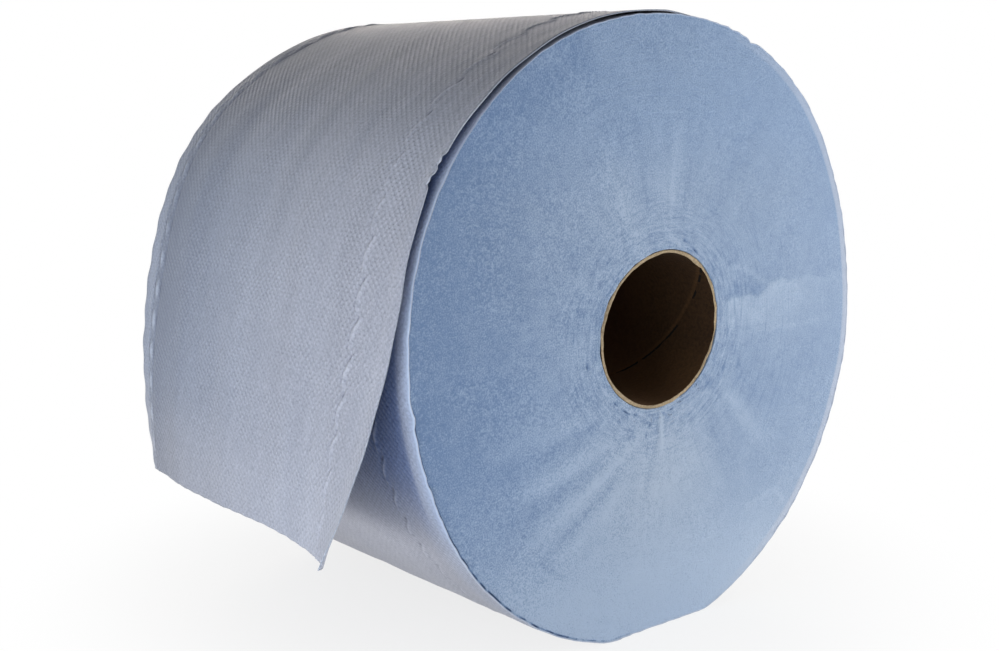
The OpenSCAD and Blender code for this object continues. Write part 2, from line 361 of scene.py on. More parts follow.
def wound_body(finishes):
    """The wound web as one closed skin: its section runs out over the near end, round the rim, along the web, round
    the other rim, in over the far end and back through the bore, and is carried once round the core. A station is
    (distance out from the bore, place along the core). At the near rim the last ply stands a little proud of a
    narrow groove, with a ragged edge. The tone measure lightens or darkens the finish, much of it painted light and
    shade, the hue measure turns it warmer or bluer as a painted colour of the light, and one more measure is 1 where
    the loose turn's shadow is painted on the last wound turn, in a deeper blue."""
    flat_out, groove, crinkled = REACH - RIM_BREAK, REACH - 0.0009, 0.015
    near_out = places((0, 26), (crinkled, 73), REACH - 0.0016)
    far_out = places((0, 14), (crinkled, 29), flat_out)[::-1]
    quarter = np.radians([22.5, 45, 67.5])
    rim_out, rim_in = flat_out + RIM_BREAK * np.sin(quarter), HALF_WEB - RIM_BREAK * (1 - np.cos(quarter))
    lip_out = REACH - np.array([0.0011, 0.0007, 0.0004, 0.0001])
    lip_rise = np.array([0.0, -0.7, 1.0, 1.0])
    along = places(
        (0.0003, 1), (RIM_BREAK, 8), (0.019, 16), (0.033, 18), (0.191, 12), (0.206, 2), WEB - RIM_BREAK
    ) - HALF_WEB
    bore = np.linspace(HALF_WEB - 0.0006, 0.0006 - HALF_WEB, 6)
    out = np.r_[near_out, lip_out, np.full(len(along), REACH), rim_out[::-1], far_out, np.zeros(len(bore))]
    across = np.r_[np.full(len(near_out) + 4, -HALF_WEB), along, rim_in[::-1], np.full(len(far_out), HALF_WEB), bore]
    kind = np.repeat([0, 1, 0, 2], (len(near_out) + 3, len(along) + 2, len(far_out) + 2, len(bore)))
    rise = np.r_[np.zeros(len(near_out)), lip_rise, [0.7], np.zeros(len(out) - len(near_out) - 5)]

    angle = ROLL_START + np.linspace(0, 2 * np.pi, ROLL_STEPS, endpoint=False)
    degrees = np.degrees(np.mod(angle, 2 * np.pi))
    angle_grid, out_grid = np.meshgrid(angle, out)
    around = np.repeat(degrees[None, :], len(out), 0)
    across_grid = np.repeat(across[:, None], len(angle), 1)
    share = out_grid / REACH
    arc = angle_grid * ROLL_R
    place = across_grid + HALF_WEB
    inside = between(place, 0.0, 0.004, WEB - 0.004, WEB) * (share > 0.99)
    soft = 0.0003 * uneven(arc, place * 1.8, 31, 0.06) + 0.00012 * uneven(arc * 0.4, place, 32, 0.012)
    skin = inside * (crimp_relief(arc, place) + soft)
    # The rim is ragged, rounds in a little beside the hanging end and has two small notches
    edge = np.exp(-place / 0.0025) * ramp(share, 0.97, 1.0)
    rim_x, rim_z = ROLL_R * np.cos(angle), ROLL_R * np.sin(angle)
    skin += edge * 0.0002 * uneven(rim_x, rim_z, 33, 0.009)[None, :]
    skin -= between(around, *ROUNDED_RIM) * 0.0012 * np.exp(-place / 0.0035) * ramp(share, 0.97, 1.0)
    notches = sum(depth * bell(around - at, half) for at, half, depth in RIM_NOTCHES)
    skin -= np.exp(-place / 0.003) * ramp(share, 0.95, 1.0) * notches
    radius = mix(PAPER_BORE_R + round_waves(angle_grid, CORE_OVAL), rim_radius(angle_grid, across_grid), share) + skin

    near_height, near_tone = end_relief(angle_grid, out_grid, NEAR_BANDS, 11)
    mark_height, mark_tone, mark_hue = near_marks(angle_grid, out_grid)
    far_height, far_tone = end_relief(angle_grid, out_grid, FAR_BANDS, 51)
    ragged = 1 + 0.9 * uneven(rim_x, rim_z, 34, 0.007)
    proud = 0.00022 + 0.00035 * between(degrees, *PROUD_PLY) + 0.0003 * bell(degrees - 74, 9)
    lip = rise[:, None] * (proud * np.clip(ragged, 0.1, 2))[None, :]
    near_share, far_share = np.exp(-place / END_FADE), np.exp((place - WEB) / END_FADE)
    points = np.stack([
        radius * np.cos(angle_grid),
        across_grid - near_share * (near_height + mark_height) - lip + far_share * far_height,
        radius * np.sin(angle_grid),
    ], -1)
    points[..., 2] = np.maximum(points[..., 2], FLOOR_Z)

    # Painted shade: a dark line in the groove where the last ply parts from the rim
    groove_shade = between(degrees, *PARTED_PLY) * np.clip(ragged, 0.2, 1.4)
    near_tone = near_tone - 1.3 * bell(out_grid - groove, 0.0004) * groove_shade[None, :]
    on_web = (out_grid > REACH - 0.0003) & (place > 0.0002) & (place < WEB - 0.0002)
    # Painted light: a lit strip on the web beside the near rim, lighter and bluer
    lit_strip = np.exp(-place / 0.0042) * between(around, *LIT_STRIP)
    tone = np.where(on_web, 0.6 * lit_strip, near_share * (near_tone + mark_tone) + far_share * far_tone)
    # Painted bounce light: the web below the hanging end is lighter and warmer
    bounce_lit = between(around, *BOUNCE_LIT_WEB) * ramp(place, 0.004, 0.02)
    tone += on_web * 0.25 * bounce_lit * ramp(place, 0.01, 0.06)
    hue = np.where(on_web, bounce_lit - 2.4 * lit_strip, near_share * mark_hue)
    # Painted shadow of the loose turn: the last wound turn under it is coloured a darker, deeper blue
    shadow_from = mix(0.0012, 0.0046, ramp(around, 150, 173))
    sheet_shadow = between(around, *SHEET_SHADOW_ANGLES) * ramp(place, shadow_from, shadow_from + 0.0042) * on_web
    web = np.stack(np.meshgrid(
        (ROLL_START + np.linspace(0, 2 * np.pi, ROLL_STEPS + 1)) * ROLL_R, np.append(across, across[0]) + HALF_WEB
    ), -1)
    measures = {"out_m": out_grid, "tone": tone, "hue": hue, "sheet_shadow": sheet_shadow}
    return surface("wound_body", points, True, True, finishes, kind, web, **measures)


def sheet_section(across):
    """Places (x, z) of the loose turn, row by row, for each place across the web. Round the roll the radius is the
    roll's plus a gap: it rises from under the last turn over the first degrees, and widens down the side. From there
    the sheet steps down along its lean from plumb, which eases from the roll's tangent to the end's own lean. The
    end leans by a mix of its two sides' leans, plus the near corner's curl, less the far corner's."""
    hanging = 106
    nicks_from, nicks_to = 146, 154
    degrees = places((LOOSE_FROM, 150), (nicks_from, 34), (nicks_to, 31), HANG_FROM)[:, None]
    rising = mix(LIFT_START, LIFT_TOP, (degrees - LOOSE_FROM) / RISE)
    settled = mix(LIFT_TOP, LIFT_SIDE, ramp(degrees, WIDEN_FROM, WIDEN_TO))
    wound = rim_radius(np.radians(degrees), across[None, :] - HALF_WEB)
    wound = mix(wound, ROLL_R, ramp(degrees, LOOSE_FROM + RISE, WIDEN_FROM + 14))
    radius = wound + np.where(degrees < LOOSE_FROM + RISE, rising, settled)
    x, z = radius * np.cos(np.radians(degrees)), radius * np.sin(np.radians(degrees))
    share = across / WEB
    end_lean = mix(NEAR_LEAN, FAR_LEAN, share) + NEAR_CURL * (1 - share) ** CURL_POWER - FAR_CURL * share**CURL_POWER
    t = (np.arange(hanging) + 0.5) / hanging
    lean = np.radians(mix(LEAVE_LEAN, end_lean[None, :], ramp(t, 0, 1)[:, None]))
    step = HANG_LENGTH / hanging
    x_all = np.concatenate([x, x[-1] - np.cumsum(step * np.sin(lean), 0)])
    z_all = np.concatenate([z, z[-1] - np.cumsum(step * np.cos(lean), 0)])
    middle = len(across) // 2
    along = np.r_[0, np.cumsum(np.hypot(np.diff(x_all[:, middle]), np.diff(z_all[:, middle])))]
    return x_all, z_all, along


def loose_sheet(finishes):
    """The last turn, loose over the top of the roll, and its hanging end: the section above at each place across,
    pushed out along its own normal by the crimped lines, soft streaks along the web and faint drawn wrinkles, with
    wavy side edges, two nicks in the near one, and small teeth along the perforated end."""
    across = places((0, 14), (0.02, 26), (0.0325, 56), (0.19, 26), (0.206, 4), WEB)
    x, z, along = sheet_section(across)
    s, w = np.meshgrid(along, across, indexing="ij")
    waves = 0.0005 * np.sin(2 * np.pi * s / FAR_CRIMP_STEP) * ramp(s, 0.1, 0.16)
    waves = waves + 0.0004 * uneven(s, s * 0.2, 73, 0.024)
    far_edge = ramp(w, 0.19, WEB) * (waves - 0.0018 - 0.0016 * ramp(s, 0.235, 0.285))
    nicks = sum(depth * bell(s - at, half) for at, half, depth in NICKS)
    nicks = nicks + 0.0006 * between(s, 0.167, 0.1695, 0.179, 0.186)
    near_edge = ramp(WEB - w, 0.2, WEB) * (wave(s, 0.013, 0, 0.0003) + wave(s, 0.0047, 1, 0.0002) + nicks)
    y = w - HALF_WEB + far_edge + near_edge
    points = np.stack([x, y, z], -1)
    along_step, across_step = np.gradient(points, axis=0), np.gradient(points, axis=1)
    normal = np.cross(across_step, along_step)
    normal /= np.linalg.norm(normal, axis=-1, keepdims=True)
    streaks = 0.0004 * uneven(w, s * 0.12, 71, 0.03) + 0.00015 * uneven(w, s * 0.1, 72, 0.011)
    drawn = 0.00012 * bell(s - 0.1, 0.03) * np.sin(2 * np.pi * (w - 0.35 * s + 6 * (w - 0.026) ** 2) / 0.014)
    flap = 0.0012 * (bell(s - 0.1655, 0.0016) + bell(s - 0.1745, 0.0014)) * np.exp(-w / 0.0018)
    relief = ramp(s, 0.012, 0.05) * (crimp_relief(s, w) + streaks * ramp(s, 0.03, 0.2) + drawn + flap)
    points = points + normal * relief[..., None]
    teeth = 0.00035 * np.abs(np.mod(w[-1] / 0.0039, 1) * 2 - 1) + wave(w[-1], 0.017, 0, 0.0004)
    onward = points[-1] - points[-2]
    points[-1] += onward / np.linalg.norm(onward, axis=-1, keepdims=True) * teeth[:, None]
    # Tone: soft streaks, a light far edge down the side, and painted light and shade that follow how the light falls:
    # a highlight on the flap at the near edge, lighter down the side, a light band beside the near edge, darker
    # towards the far side, two light patches, a lighter end, and a darker near part over the top
    tone = 0.1 * uneven(w, s * 0.1, 74, 0.02) + 0.2 * bell(s - 0.1655, 0.0016) * np.exp(-w / 0.002)
    tone += 0.1 * ramp(s + 0.1 * w, 0.15, 0.172) + 0.16 * bell(w - 0.0065, 0.0022) * ramp(s, 0.19, 0.22)
    tone += mix(0.1, -0.14, w / WEB) - 0.22 * between(w, 0.155, 0.18, 0.194, 0.202)
    tone -= 0.14 * ramp(w, 0.1, 0.17) * between(s, 0.17, 0.22, 0.27, 0.31)
    tone += 0.09 * bell(s - 0.23, 0.045) * bell(w - 0.105, 0.045)
    tone += 0.15 * bell(s - 0.168, 0.03) * (1 - ramp(w, 0.13, 0.19)) + 0.2 * ramp(s, 0.285, 0.325)
    tone -= 0.32 * (1 - ramp(w, 0.025, 0.075)) * between(s, 0.06, 0.085, 0.115, 0.155)
    tone += 0.45 * ramp(w, 0.2, 0.2035) * ramp(s, 0.16, 0.22)
    # Hue, painted colour of the light: warmer over the top and beside the near edge, bluer down the far part of the
    # side
    hue = 0.9 * (1 - ramp(s, 0.095, 0.15)) - 1.1 * ramp(w, 0.06, 0.17) * between(s, 0.13, 0.2, 0.27, 0.33)
    hue += 0.3 * (1 - ramp(w, 0.02, 0.06)) * ramp(s, 0.15, 0.22)
    web = np.stack([s, w], -1)
    piece = surface("loose_sheet", points, False, False, finishes, web=web, outside=-1, tone=tone, hue=hue)
    body = piece.modifiers.new("two_plies", "SOLIDIFY")
    body.thickness, body.offset, body.use_even_offset = SHEET_THICKNESS, -1.0, True
    body.material_offset_rim = 1
    return piece, along[-1]


def core_tube(finishes):
    """The cardboard core: its section runs in over the near rim, back through the bore, out over the far rim and
    home along the outside. Both rims are rough. A seam winds along the bore, one turn in 0.16 m: a fine open joint
    with the edge of the overlapping ply beside it."""
    out = np.array([0.0, 0.3, 0.7, 1.0])
    bore = np.linspace(-HALF_WEB + 0.0004, HALF_WEB - 0.0004, 130)
    outer = np.linspace(HALF_WEB - 0.0004, -HALF_WEB + 0.0004, 20)
    depth = np.r_[np.full(4, -HALF_WEB), bore, np.full(4, HALF_WEB), outer]
    inset = np.r_[CORE_WALL * out, np.full(len(bore), CORE_WALL), CORE_WALL * (1 - out), np.zeros(len(outer))]
    kind = np.repeat([0, 1, 0, 1], (3, len(bore) + 1, 3, len(outer) + 1))
    angle = np.linspace(0, 2 * np.pi, CORE_STEPS, endpoint=False)
    angle_grid, depth_grid = np.meshgrid(angle, depth)
    inset_grid = np.repeat(inset[:, None], len(angle), 1)
    winding = angle_grid + SEAM_TURN * (depth_grid - SEAM_PLACE[1]) - SEAM_PLACE[0]
    seam = np.angle(np.exp(1j * winding))
    joint, ply = bell(seam, 0.02), bell(seam - 0.13, 0.09)
    inward = (inset_grid > CORE_WALL * 0.99) * (0.0003 * ply - 0.0004 * joint)
    end = np.exp((np.abs(depth_grid) - HALF_WEB) / 0.002)
    fine = inset_grid * 3000
    rough = 0.0003 * uneven(angle_grid * 9, fine, 91, 6.0) + 0.0002 * uneven(angle_grid * 30, fine, 92, 6.0)
    worn_wall = inset_grid * (1 + 0.16 * end * uneven(angle_grid * 7, angle_grid, 93, 5.0))
    radius = CORE_R + round_waves(angle_grid, CORE_OVAL) - worn_wall - inward
    depth_grid = depth_grid + rough * end * np.sign(depth_grid)
    points = np.stack([radius * np.cos(angle_grid), depth_grid, radius * np.sin(angle_grid)], -1)
    return surface("core_tube_board", points, True, True, finishes, kind, outside=-1)


# ---------------- colours
# The cut ends: their deepest and palest paper, the painted shade in their crevices and cuts, and the painted highlight
# along their rim
CUT_DEEP, CUT_PALE = (0.15, 0.233, 0.388, 1), (0.405, 0.497, 0.632, 1)
CREVICE_SHADE, RIM_HIGHLIGHT = (0.035, 0.065, 0.15, 1), (0.57, 0.59, 0.66, 1)
# The face of the web: its own two, the painted shadow under the loose turn, the painted shade and highlight of the
# crimps, and the painted highlight along its near edge
TISSUE_DEEP, TISSUE_PALE = (0.265, 0.285, 0.355, 1), (0.475, 0.5, 0.59, 1)
SHEET_SHADOW_DEEP, SHEET_SHADOW_PALE = (0.06, 0.097, 0.212, 1), (0.165, 0.238, 0.435, 1)
CRIMP_PAINTED_SHADE, CRIMP_PAINTED_HIGHLIGHT, WEB_EDGE_HIGHLIGHT = (0.1, 0.105, 0.15, 1), (0.6, 0.63, 0.71, 1), (0.62, 0.66, 0.75, 1)
# The cut edges of the two plies
PLY_DEEP, PLY_PALE = (0.32, 0.35, 0.43, 1), (0.7, 0.73, 0.8, 1)
# The core's rims, its bore, and the open joint in the bore
RIM_DEEP, RIM_PALE = (0.2, 0.13, 0.07, 1), (0.6, 0.47, 0.31, 1)
BORE_DEEP, BORE_PALE, OPEN_JOINT = (0.027, 0.012, 0.004, 1), (0.15, 0.072, 0.025, 1), (0.002, 0.0015, 0.001, 1)
# What turns a colour bluer and warmer, as a painted colour of the light
TO_BLUE, TO_WARM = (0.9, 0.985, 1.11, 1), (1.1, 0.99, 0.91, 1)
WHITE = (1, 1, 1, 1)


# ---------------- material building
def put(tree, socket, value):
    """Links a socket into an input, or sets the input's own value."""
    if isinstance(value, bpy.types.NodeSocket):
        tree.links.new(value, socket)
    else:
        socket.default_value = value


def node(tree, kind, sockets, **settings):
    """Adds a shader node with its settings and its inputs, given by name or number."""
    made = tree.nodes.new("ShaderNode" + kind)
    for key, value in settings.items():
        setattr(made, key, value)
    for key, value in sockets.items():
        put(tree, made.inputs[key], value)
    return made


def calc(tree, operation, *values):
    """One step of arithmetic."""
    return node(tree, "Math", dict(enumerate(values)), operation=operation).outputs[0]


def chain(tree, operation, first, *others):
    """The same step over and over, from the first value through all the others."""
    for other in others:
        first = calc(tree, operation, first, other)
    return first


def total(tree, *values):
    """Sum of several values."""
    return chain(tree, "ADD", *values)


def times(tree, *values):
    """Product of several values."""
    return chain(tree, "MULTIPLY", *values)


def most(tree, *values):
    """The largest of several values."""
    return chain(tree, "MAXIMUM", *values)


def span(tree, value, low, high, to_low=0.0, to_high=1.0):
    """Maps a value from one range to another with level ends."""
    made = node(tree, "MapRange", {0: value, 1: low, 2: high, 3: to_low, 4: to_high}, interpolation_type="SMOOTHSTEP")
    return made.outputs[0]


def peak(tree, value, middle, width):
    """1 where a value is at the middle, half at about the width on both sides, and 0 at twice the width."""
    return span(tree, calc(tree, "ABSOLUTE", total(tree, value, -middle)), 0.0, 2 * width, 1.0, 0.0)


def noise(tree, place, size, detail=2.0, rough=0.5):
    """Noise whose lumps measure about size, as a value around 0.5."""
    made = node(tree, "TexNoise", {"Vector": place, "Scale": 1 / size, "Detail": detail, "Roughness": rough})
    return made.outputs["Fac"]


def parts(tree, vector):
    """The X, Y and Z of a vector."""
    return node(tree, "SeparateXYZ", {0: vector}).outputs


def vector(tree, *values):
    """A vector from its X, Y and Z."""
    return node(tree, "CombineXYZ", dict(enumerate(values))).outputs[0]


def round_place(tree, out, length, way, spin):
    """A place for noise that is drawn out round the roll. A larger spin gives shorter strokes."""
    return vector(tree, calc(tree, "DIVIDE", out, length), times(tree, way["X"], spin), times(tree, way["Z"], spin))


def blend(tree, fac, a, b, kind="MIX"):
    """Mixes two colours."""
    made = node(tree, "Mix", {0: fac, 6: a, 7: b}, data_type="RGBA", blend_type=kind)
    return made.outputs[2]


def group(name, takes, gives):
    """A shader node group with named inputs (name: kind) and outputs."""
    tree = bpy.data.node_groups.new(name, "ShaderNodeTree")
    for key, kind in takes.items():
        tree.interface.new_socket(name=key, in_out="INPUT", socket_type="NodeSocket" + kind)
    for key in gives:
        tree.interface.new_socket(name=key, in_out="OUTPUT", socket_type="NodeSocketFloat")
    return tree, tree.nodes.new("NodeGroupInput").outputs, tree.nodes.new("NodeGroupOutput").inputs


def use(tree, shared, sockets):
    """Places a shared group in a material."""
    made = tree.nodes.new("ShaderNodeGroup")
    made.node_tree = shared
    for key, value in sockets.items():
        put(tree, made.inputs[key], value)
    return made.outputs


def fibre_group():
    """Tissue or board fibre: fine fuzz of the given size, lumps four times and clouds thirty times as large."""
    tree, given, wanted = group("fibre", {"Place": "Vector", "Size": "Float"}, ("Tone", "Height"))
    layers = []
    for larger, detail in ((1.0, 3.0), (4.0, 2.0), (30.0, 2.0)):
        scale = calc(tree, "DIVIDE", 1.0 / larger, given["Size"])
        made = node(tree, "TexNoise", {"Vector": given["Place"], "Scale": scale, "Detail": detail})
        layers.append(total(tree, made.outputs["Fac"], -0.5))
    fine, lumps, clouds = layers
    tree.links.new(total(tree, fine, times(tree, lumps, 0.2), times(tree, clouds, 0.12)), wanted["Tone"])
    tree.links.new(total(tree, fine, times(tree, lumps, 0.6)), wanted["Height"])
    return tree


def emboss_group():
    """Embossed dots in diagonal rows: the sum of cosines along both diagonals, one a little stronger. It gives their
    height, and a mask for the painted highlights on them.
    """
    tree, given, wanted = group("emboss", {"Flat": "Vector", "Pitch": "Float"}, ("Height", "Dot"))
    flat = parts(tree, given["Flat"])
    turn = calc(tree, "DIVIDE", 2 * np.pi * 0.5**0.5, given["Pitch"])
    rows = []
    for sign, strength in (("ADD", 0.56), ("SUBTRACT", 0.44)):
        diagonal = calc(tree, sign, flat["X"], flat["Y"])
        rows.append(times(tree, calc(tree, "COSINE", times(tree, diagonal, turn)), strength))
    both = total(tree, *rows)
    tree.links.new(span(tree, both, -0.6, 1.0), wanted["Height"])
    tree.links.new(span(tree, both, 0.1, 0.9), wanted["Dot"])
    return tree


def turns_group():
    """Noise drawn out round the roll, so that it reads as the fine broken edges of wound turns, or with a large pitch
    and a fine spin as smears that run outwards. Around is the direction from the axis."""
    takes = {"Out": "Float", "Around": "Vector", "Pitch": "Float", "Spin": "Float"}
    tree, given, wanted = group("turns", takes, ("Line", "Height"))
    place = round_place(tree, given["Out"], given["Pitch"], parts(tree, given["Around"]), given["Spin"])
    fine = noise(tree, place, 1.0, 3.0, 0.65)
    tree.links.new(span(tree, fine, 0.52, 0.68), wanted["Line"])
    tree.links.new(fine, wanted["Height"])
    return tree


def crimps_group():
    """Painted light and shade of the two crimped lines over the flat web. In the near one: painted highlights along
    the ridges, painted shadow along their inner side, painted shade in the dents, and a painted dark mark where a
    ridge runs out, all fainter down the sheet's side, and less so on the wound web. In the far one: painted highlights
    on the lenses, and painted shade in the creases on both sides of them."""
    tree, given, wanted = group("crimps", {"Flat": "Vector"}, ("Tone",))
    flat = parts(tree, given["Flat"])
    along, across = flat["X"], flat["Y"]

    def slow(length, phase, size):
        return times(tree, calc(tree, "SINE", calc(tree, "MULTIPLY_ADD", along, 1 / length, phase)), size)

    def on_side(top, side):
        return span(tree, along, *TOP_TO_SIDE, top, side)

    part = calc(tree, "FRACT", calc(tree, "MULTIPLY_ADD", along, 1 / NEAR_CRIMP_STEP, slow(*STEP_WAVE)))
    off = calc(tree, "SUBTRACT", total(tree, across, -NEAR_CRIMP), slow(*NEAR_WAVE))
    body = times(tree, span(tree, part, *CRIMP_BODY[:2]), span(tree, part, *CRIMP_BODY[2:], 1.0, 0.0))
    crest = times(tree, span(tree, part, *CRIMP_CROSSES, *CRIMP_ENDS), on_side(1.0, CLOSER))
    off_crest = calc(tree, "SUBTRACT", off, crest)
    ridge = times(tree, body, peak(tree, off_crest, 0, 0.0011), 0.9)
    shadow_fades = span(tree, part, 0.45, 0.6, 1.0, on_side(0.25, 0.8))
    shadow = times(tree, body, peak(tree, off_crest, 0.0017, 0.001), shadow_fades, -0.75)
    from_dent = calc(tree, "WRAP", total(tree, part, -0.12), 0.5, -0.5)
    dent = times(tree, peak(tree, from_dent, 0, 0.1), peak(tree, off, 0, 0.001), on_side(-1.5, -0.7))
    run_out = times(tree, peak(tree, part, 0.76, 0.07), peak(tree, off, 0.0013, 0.0009), -0.9)
    fades = total(tree, on_side(1.0, 0.56), span(tree, along, 0.335, 0.345, 0.0, 0.16))
    strength = total(tree, STRENGTH, slow(*STRENGTH_WAVE))
    near = times(tree, total(tree, ridge, shadow, dent, run_out), fades, strength)

    part = calc(tree, "FRACT", calc(tree, "DIVIDE", along, FAR_CRIMP_STEP))
    lens = peak(tree, part, 0.5, 0.25)
    off = calc(tree, "SUBTRACT", total(tree, across, -FAR_CRIMP), slow(*FAR_WAVE))
    bump = times(tree, lens, peak(tree, off, 0, 0.0012), span(tree, along, 0.19, 0.27, 0.5, 1.1))
    sides = total(tree, peak(tree, off, -0.003, 0.001), peak(tree, off, 0.0027, 0.0008))
    creases = times(tree, calc(tree, "MULTIPLY_ADD", lens, 0.6, 0.4), sides, -0.55)
    tree.links.new(total(tree, near, bump, creases), wanted["Tone"])
    return tree


FIBRE, EMBOSS, TURNS, CRIMPS = fibre_group(), emboss_group(), turns_group(), crimps_group()


def new_material(name):
    """An empty material with its tree and Object coordinates."""
    made = bpy.data.materials.new(name)
    made.use_nodes = True
    made.node_tree.nodes.clear()
    return made, made.node_tree, node(made.node_tree, "TexCoord", {}).outputs["Object"]


def dress(tree, colour, height, depth, rough, sheen=0.0):
    """The material's shader, with its colour, and a height between 0 and 1, worth depth metres, for its normal."""
    bump = node(tree, "Bump", {"Strength": 1.0, "Distance": depth, "Height": height}).outputs[0]
    shader = node(tree, "BsdfPrincipled", {
        "Base Color": colour, "Normal": bump, "Roughness": rough, "Sheen Weight": sheen, "Sheen Roughness": 0.5,
        "Specular IOR Level": 0.25,
    })
    tree.links.new(shader.outputs[0], tree.nodes.new("ShaderNodeOutputMaterial").inputs[0])


def measure(tree, key):
    """A number that the piece's mesh holds at each point."""
    return node(tree, "Attribute", {}, attribute_name=key).outputs["Fac"]


def tinted(tree, colour):
    """Turns a colour warmer or bluer by the hue that the piece's mesh holds at each point, a painted colour of the
    light.
    """
    turn = calc(tree, "MULTIPLY_ADD", measure(tree, "hue"), 0.25, 0.5)
    return blend(tree, 1.0, colour, blend(tree, turn, TO_BLUE, TO_WARM), "MULTIPLY")


def cut_ends():
    """The ends of the roll, where thousands of cut paper edges lie side by side: blue, mottled and fuzzy, with smears
    that run outwards, fine turn lines near the core and right of it, painted shade in the crevices among the crinkled
    turns, in the cuts at the flecks and in the groove beside the parted ply, and a painted highlight along the rim,
    wider on the right."""
    made, tree, place = new_material("cut_paper_edges")
    out, tone = measure(tree, "out_m"), measure(tree, "tone")
    axes = parts(tree, place)
    around = node(tree, "VectorMath", {0: vector(tree, axes["X"], 0.0, axes["Z"])}, operation="NORMALIZE").outputs[0]
    way = parts(tree, around)
    fibre = use(tree, FIBRE, {"Place": place, "Size": 0.0007})
    grain = use(tree, FIBRE, {"Place": place, "Size": 0.003})
    turns, wide, smear = [
        use(tree, TURNS, {"Out": out, "Around": around, "Pitch": pitch, "Spin": spin})
        for pitch, spin in ((0.0009, 5.0), (0.0022, 3.0), (0.012, 15.0))
    ]
    crinkled = noise(tree, round_place(tree, out, 0.001, way, 22.0), 1.0, 3.0, 0.6)
    rippled = noise(tree, round_place(tree, out, 0.0017, way, 6.5), 1.0, 2.0, 0.6)

    near_core, low_side = span(tree, out, 0.003, 0.014, 1.0, 0.0), span(tree, way["Z"], -0.2, -0.9, 0.25, 1.0)
    # Painted shade in the crevices among the crinkled turns, deepest below the core
    crevice_shade = times(tree, span(tree, crinkled, 0.63, 0.7), near_core, low_side)
    right_side = times(tree, span(tree, way["X"], 0.5, 1.0, 0.0, 0.34), span(tree, out, 0.03, 0.08, 1.0, 0.3))
    clear = most(tree, span(tree, out, 0.008, 0.045, 0.4, 0.07), right_side)
    shade = total(
        tree, 0.5, tone,
        times(tree, fibre["Tone"], span(tree, way["X"], -0.5, 0.8, 1.9, 1.0)),
        times(tree, grain["Height"], 0.08),
        times(tree, total(tree, smear["Height"], -0.5), span(tree, out, 0.02, 0.09, 0.5, 0.2)),
        times(tree, total(tree, crinkled, -0.5), span(tree, out, 0.004, 0.024, 0.6, 0.0)),
        times(tree, total(tree, rippled, -0.5), span(tree, out, 0.004, 0.036, 1.2, 0.0)),
        times(tree, total(tree, turns["Line"], wide["Line"]), clear, -0.6),
    )
    colour = blend(tree, shade, CUT_DEEP, CUT_PALE)
    # Painted highlight along the rim: a band on the right and a thin line all round
    pale = times(tree, span(tree, out, REACH - 0.0052, REACH - 0.0032), span(tree, way["X"], 0.2, 0.75, 0.0, 0.45))
    lip = span(tree, out, REACH - 0.00065, REACH - 0.0004, 0.0, 0.55)
    colour = blend(tree, most(tree, pale, lip), colour, RIM_HIGHLIGHT)
    # Painted shade in the crevices, and at the darkest tones: the flecks' cuts and the groove
    cut_shade = most(tree, span(tree, tone, -0.4, -0.9, 0.0, 0.85), times(tree, crevice_shade, 0.85))
    colour = blend(tree, cut_shade, colour, CREVICE_SHADE)
    height = total(
        tree, times(tree, fibre["Height"], 0.7), times(tree, turns["Height"], 0.3),
        times(tree, smear["Height"], 0.35), times(tree, crevice_shade, -0.8),
    )
    dress(tree, tinted(tree, colour), height, 0.0004, 0.9, 0.15)
    return made


def embossed_tissue():
    """The face of the web: grey-blue tissue with embossed dots in diagonal rows, with painted highlights on the dots,
    drawn wrinkles, the painted light and shade of the crimped lines and a painted highlight along the near edge of
    the wound web. The loose turn's shadow is painted on the last wound turn in a darker blue."""
    made, tree, place = new_material("embossed_tissue")
    flat = node(tree, "UVMap", {}, uv_map="web").outputs[0]
    web = parts(tree, flat)
    fibre = use(tree, FIBRE, {"Place": place, "Size": 0.001})
    dots = use(tree, EMBOSS, {"Flat": flat, "Pitch": DOT_PITCH})
    worn = span(tree, noise(tree, place, 0.02), 0.3, 0.7, 0.45, 1.0)
    # Painted light and shade of the crimped lines
    crimp = use(tree, CRIMPS, {"Flat": flat})["Tone"]
    slanted = calc(tree, "MULTIPLY_ADD", web["X"], -0.3, web["Y"])
    drawn_place = vector(tree, calc(tree, "DIVIDE", web["X"], 0.06), calc(tree, "DIVIDE", slanted, 0.0042))
    drawn = total(tree, noise(tree, drawn_place, 1.0, 2.0, 0.55), -0.5)
    drawn = times(tree, drawn, most(tree, peak(tree, web["X"], 0.095, 0.045), 0.28))
    # Shade: painted highlights on the dots and painted light and shade of the crimps among the rest
    shade = total(
        tree, 0.35, measure(tree, "tone"), times(tree, fibre["Tone"], 1.5), times(tree, dots["Dot"], worn, 0.33),
        times(tree, drawn, 1.1), times(tree, crimp, 0.5),
    )
    near_edge = span(tree, web["Y"], 0.0002, 0.0011, 0.75, 0.0)
    colour = blend(tree, shade, TISSUE_DEEP, TISSUE_PALE)
    # Painted shadow of the loose turn, painted crimp shade and highlights, painted highlight along the near edge
    for share, over in (
        (times(tree, measure(tree, "sheet_shadow"), 0.9), blend(tree, shade, SHEET_SHADOW_DEEP, SHEET_SHADOW_PALE)),
        (span(tree, crimp, -0.15, -0.95, 0.0, 0.85), CRIMP_PAINTED_SHADE),
        (span(tree, crimp, 0.12, 0.85, 0.0, 0.58), CRIMP_PAINTED_HIGHLIGHT),
        (times(tree, near_edge, span(tree, measure(tree, "out_m"), 0.02, 0.08)), WEB_EDGE_HIGHLIGHT),
    ):
        colour = blend(tree, share, colour, over)
    height = total(
        tree, times(tree, dots["Height"], worn, 0.55), times(tree, fibre["Height"], 0.45), times(tree, drawn, 0.8)
    )
    dress(tree, tinted(tree, colour), height, 0.00042, 0.55, 0.2)
    return made


